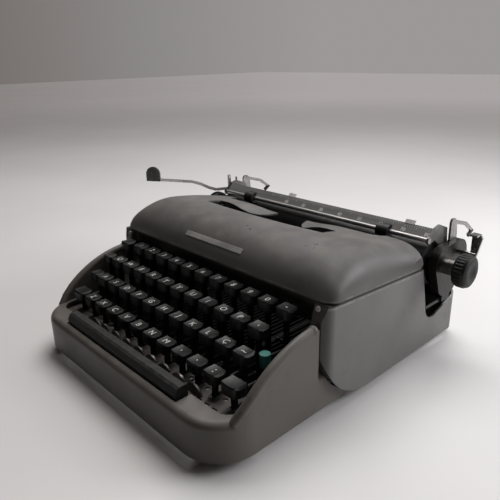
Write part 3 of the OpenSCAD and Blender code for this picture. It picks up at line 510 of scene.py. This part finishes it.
def smooth_group():
    """Modifier that joins the facets of a skin and shades it smooth up to an angle."""
    g = bpy.data.node_groups.new("smooth_skin", "GeometryNodeTree")
    g.interface.new_socket("Geometry", in_out="INPUT", socket_type="NodeSocketGeometry")
    g.interface.new_socket("Geometry", in_out="OUTPUT", socket_type="NodeSocketGeometry")
    start = g.nodes.new("NodeGroupInput")
    end = g.nodes.new("NodeGroupOutput")
    drop = g.nodes.new("GeometryNodeRemoveAttribute")
    drop.inputs["Name"].default_value = "custom_normal"
    merge = g.nodes.new("GeometryNodeMergeByDistance")
    merge.inputs["Distance"].default_value = WELD * MM
    soft = g.nodes.new("GeometryNodeSetShadeSmooth")
    hard = g.nodes.new("GeometryNodeSetShadeSmooth")
    hard.domain = "EDGE"
    hard.inputs["Shade Smooth"].default_value = False
    fold = g.nodes.new("GeometryNodeInputMeshEdgeAngle")
    more = g.nodes.new("FunctionNodeCompare")
    more.operation = "GREATER_THAN"
    more.inputs[1].default_value = math.radians(SMOOTH_ANGLE)
    link = g.links.new
    link(start.outputs[0], drop.inputs["Geometry"])
    link(drop.outputs[0], merge.inputs["Geometry"])
    link(merge.outputs[0], soft.inputs["Geometry"])
    link(soft.outputs[0], hard.inputs["Geometry"])
    link(fold.outputs["Unsigned Angle"], more.inputs[0])
    link(more.outputs[0], hard.inputs["Selection"])
    link(hard.outputs[0], end.inputs[0])
    return g


skin = smooth_group()
for name in ("top_cover", "base_frame", "body_shell", "carriage_frame", "platen_knobs"):
    smooth = nodes[name].modifiers.new("smooth_skin", "NODES")
    smooth.node_group = skin
    if name != "top_cover":
        flat = nodes[name].modifiers.new("flat_panels", "WEIGHTED_NORMAL")
        flat.keep_sharp = True
        flat.weight = PANEL_WEIGHT


# Helpers for pieces; characters and scale marks have one thickness

PRINT_THICK = 0.12


def add_object(name, data):
    obj = bpy.data.objects.new(name, data)
    bpy.context.scene.collection.objects.link(obj)
    return obj


def finished_mesh(name, bm):
    mesh = bpy.data.meshes.new(name)
    bm.to_mesh(mesh)
    bm.free()
    return mesh


def add_piece(name, mesh, mat, body):
    """Shows a mesh as a piece that moves with a body."""
    obj = add_object(name, mesh)
    mesh.materials.clear()
    mesh.materials.append(mat)
    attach(obj, body)


def add_shape(name, bm, mat, body):
    add_piece(name, finished_mesh(name, bm), mat, body)


def letters(name, text, size, at, turn=None, bold=0.0):
    """Mesh of raised characters around a point, on the table's plane or on the one that turn gives."""
    curve = bpy.data.curves.new(name, "FONT")
    curve.body = text
    curve.size = size * MM
    curve.align_x = "CENTER"
    curve.align_y = "CENTER"
    curve.extrude = PRINT_THICK * MM / 2
    curve.offset = bold * MM
    maker = add_object(name + "_curve", curve)
    bpy.context.view_layer.update()
    mesh = bpy.data.meshes.new_from_object(maker.evaluated_get(bpy.context.evaluated_depsgraph_get()))
    bpy.data.objects.remove(maker)
    bpy.data.curves.remove(curve)
    low = [min(v.co[i] for v in mesh.vertices) for i in range(2)]
    high = [max(v.co[i] for v in mesh.vertices) for i in range(2)]
    mesh.transform(Matrix.Translation((-(low[0] + high[0]) / 2, -(low[1] + high[1]) / 2, 0)))
    mesh.transform(turn or Matrix.Identity(4))
    mesh.transform(Matrix.Translation(at))
    mesh.name = name
    return mesh


def turned(normal):
    """Rotation that lays a flat piece on a plane: its x stays level, its z is along the normal."""
    x, z = Vector((1, 0, 0)), Vector(normal).normalized()
    return Matrix((x, z.cross(x), z)).transposed().to_4x4()


def block(bm, size, at, turn):
    """Adds a box with its middle at a point to a mesh."""
    grow = Matrix.Diagonal([c * MM for c in size] + [1])
    bmesh.ops.create_cube(bm, size=1.0, matrix=Matrix.Translation(at) @ turn @ grow)


def rounded(bm, width):
    """Bevels every edge of a mesh."""
    bmesh.ops.bevel(bm, geom=bm.edges[:], offset=width * MM, segments=2, profile=0.6, affect="EDGES")


# Scale on the bail's strip: one mark for each space, a longer one at each fifth, numerals at each tenth

SPACE = 2.293
FIRST_MARK_X = -57.4
MARKS = 82
MARK_W = 0.32
MARK_LEN = 2.3
LONG_MARK_LEN = 3.6
MARK_TOP = 10.7
NUMERAL_SIZE = 4.8
NUMERAL_BOLD = 0.14
NUMERAL_UP = 4.4
TABS_X = (-31.6, 106.4)
TAB_SIZE = (9.5, 4.4, 0.7)
TAB_UP = 12.8
TAB_ROUND = 0.25
strip_turn = turned((0, -1, 1))


def on_strip(x, up):
    """Point on the strip, which leans back by 45 degrees, at a distance up its face."""
    return place(x, STRIP_FOOT_Y + up * math.sqrt(0.5), STRIP_FOOT_Z + up * math.sqrt(0.5))


bm = bmesh.new()
for i in range(MARKS):
    length = LONG_MARK_LEN if i % 5 == 0 else MARK_LEN
    middle = on_strip(FIRST_MARK_X + i * SPACE, MARK_TOP - length / 2)
    block(bm, (MARK_W, length, PRINT_THICK), middle, strip_turn)
add_shape("scale_marks", bm, scale_white, "bail")

for i in range(10, MARKS, 10):
    middle = on_strip(FIRST_MARK_X + i * SPACE, NUMERAL_UP)
    mesh = letters(f"scale_{i}", f"{i}", NUMERAL_SIZE, middle, strip_turn, NUMERAL_BOLD)
    add_piece(f"scale_{i}", mesh, scale_white, "bail")

bm = bmesh.new()
for x in TABS_X:
    block(bm, TAB_SIZE, on_strip(x, TAB_UP), strip_turn)
rounded(bm, TAB_ROUND)
add_shape("strip_tabs", bm, scale_white, "bail")


# Blank bright bar on the cover, where a name would be

BAR_SIZE = (73, 5, 1.2)
BAR_AT = (0, -36.5, 105.5)
BAR_NORMAL = (0, -0.737, 0.676)
BAR_ROUND = 0.5
bm = bmesh.new()
block(bm, BAR_SIZE, place(*BAR_AT), turned(BAR_NORMAL))
rounded(bm, BAR_ROUND)
add_shape("cover_bar", bm, satin, "cover")


# A stud on each front cheek of the shell

STUD_X = 122.6
STUD_Y = -44.5
STUD_Z = 87.4
STUD_NORMAL = (0, -0.954, 0.3)
STUD_R = 2.3
STUD_TOP_R = 1.8
STUD_H = 1.2
bm = bmesh.new()
for x in (-STUD_X, STUD_X):
    spot = Matrix.Translation(place(x, STUD_Y, STUD_Z)) @ turned(STUD_NORMAL)
    bmesh.ops.create_cone(
        bm, cap_ends=True, segments=20, radius1=STUD_R * MM, radius2=STUD_TOP_R * MM, depth=STUD_H * MM,
        matrix=spot)
add_shape("front_studs", bm, satin, "base")


# Characters on the key tops, read from the photo's rows; a key's box gives its cap's front edge and rim

ROWS = {
    "lower_key_": "ZXCVBNM,.:",
    "home_key_": "ASDFGHJKLÇ~",
    "upper_key_": "QWERTYUIOP'",
    "number_key_": "1234567890-",
}
CAP_HALF = 6.7
LEGEND_DROP = 0.68
LETTER_SIZE = 7.4
SIGN_SIZE = 9.0
for row, text in ROWS.items():
    for i, sign in enumerate(text):
        key = f"{row}{i + 1}"
        low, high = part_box(key)
        middle = ((low.x + high.x) / 2, low.y + CAP_HALF * MM, high.z - LEGEND_DROP * MM)
        mesh = letters(f"legend_{key}", sign, LETTER_SIZE if sign.isalnum() else SIGN_SIZE, middle)
        add_piece(f"legend_{key}", mesh, legend_white, key)


# Studio: bright to the rear, where the camera looks, dim and warm in front of the machine; in metres

REAR = (0.1, 0.99, 0.0)
DIM_COSINE = -0.35
BRIGHT_COSINE = 0.7
FRONT_LIGHT = 0.012
REAR_LIGHT = 0.33
FLOOR_LESS = 0.06
FLOOR_HALF = 6.0
FLOOR_GLOW_START = 0.6
FLOOR_GLOW_FULL = 3.2
STUDIO_WARM = (1.0, 0.72, 0.58)
TINT_RISE = 4.0


def rear_glow(tree, way, less=0.0):
    """Strength of the studio's light from a direction, by the cosine of its angle to the rear."""
    toward = tree.nodes.new("ShaderNodeVectorMath")
    toward.operation = "DOT_PRODUCT"
    toward.inputs[1].default_value = REAR
    tree.links.new(way, toward.inputs[0])
    rise = tree.nodes.new("ShaderNodeMapRange")
    rise.inputs["From Min"].default_value = DIM_COSINE
    rise.inputs["From Max"].default_value = BRIGHT_COSINE
    rise.inputs["To Min"].default_value = max(0.0, FRONT_LIGHT - less)
    rise.inputs["To Max"].default_value = REAR_LIGHT - less
    tree.links.new(toward.outputs["Value"], rise.inputs["Value"])
    return rise.outputs["Result"]


def floor_look():
    """Pale matt floor that glows more the farther it is, until it runs into the world behind it."""
    s = Shader("floor", Roughness=0.6)
    far = s.add("ShaderNodeVectorMath", operation="LENGTH")
    s.put(far.inputs[0], s.where)
    way = s.add("ShaderNodeVectorMath", operation="NORMALIZE")
    s.put(way.inputs[0], s.where)
    glow = rear_glow(s.tree, way.outputs["Vector"], FLOOR_LESS)
    return s.set(
        Base_Color=s.patches(3.0, (0.70, 0.69, 0.69), (0.74, 0.73, 0.73)),
        Emission_Color=STUDIO_WHITE,
        Emission_Strength=s.times(s.ramp(far.outputs["Value"], FLOOR_GLOW_START, FLOOR_GLOW_FULL), glow))


bm = bmesh.new()
bmesh.ops.create_grid(bm, x_segments=1, y_segments=1, size=FLOOR_HALF)
floor = add_object("floor", finished_mesh("floor", bm))
floor.data.materials.append(floor_look())


def area_light(name, at, target, size, power, colour):
    data = bpy.data.lights.new(name, "AREA")
    data.size = size
    data.energy = power
    data.color = colour
    obj = add_object(name, data)
    obj.location = at
    obj.rotation_euler = (Vector(target) - Vector(at)).to_track_quat("-Z", "Y").to_euler()


area_light(
    "overhead", at=(-0.2, 0.45, 1.3), target=(0, 0, 0.05),
    size=1.0, power=16.5, colour=(1.0, 0.98, 0.97))
area_light(
    "right_rear", at=(0.60, 0.56, 0.42), target=(0.15, 0.08, 0.05),
    size=0.4, power=4.2, colour=(0.97, 0.98, 1.0))

world = bpy.data.worlds.new("studio")
bpy.context.scene.world = world
world.use_nodes = True
tree = world.node_tree
sky = rear_glow(tree, tree.nodes.new("ShaderNodeTexCoord").outputs["Generated"])
share = tree.nodes.new("ShaderNodeMath")
share.operation = "MULTIPLY"
share.inputs[1].default_value = TINT_RISE
share.use_clamp = True
tint = tree.nodes.new("ShaderNodeMix")
tint.data_type = "RGBA"
tint.inputs[6].default_value = (*STUDIO_WARM, 1.0)
tint.inputs[7].default_value = (*STUDIO_WHITE, 1.0)
back = tree.nodes["Background"]
tree.links.new(sky, share.inputs[0])
tree.links.new(share.outputs[0], tint.inputs[0])
tree.links.new(tint.outputs[2], back.inputs["Color"])
tree.links.new(sky, back.inputs["Strength"])


# Camera fitted to the key tops of the photo: place and lens in millimetres, turns in degrees

CAMERA_AT = (336.0, -305.9, 253.5)
CAMERA_TURNS = (-47.1, 20.0, -1.1)
SENSOR = 36
FOCAL_LENGTH = 38.52
yaw, pitch, roll = (math.radians(a) for a in CAMERA_TURNS)
ahead = Vector((math.sin(yaw) * math.cos(pitch), math.cos(yaw) * math.cos(pitch), -math.sin(pitch)))
right = Vector((math.cos(yaw), -math.sin(yaw), 0))
up = right.cross(ahead)
side = math.cos(roll) * right + math.sin(roll) * up
top = math.cos(roll) * up - math.sin(roll) * right
lens = bpy.data.cameras.new("camera")
lens.sensor_width = SENSOR
lens.lens = FOCAL_LENGTH
camera = add_object("camera", lens)
view_turn = Matrix((side, top, -ahead)).transposed().to_4x4()
camera.matrix_world = Matrix.Translation(place(*CAMERA_AT)) @ view_turn
bpy.context.scene.camera = camera
bpy.context.scene.view_settings.view_transform = "Standard"
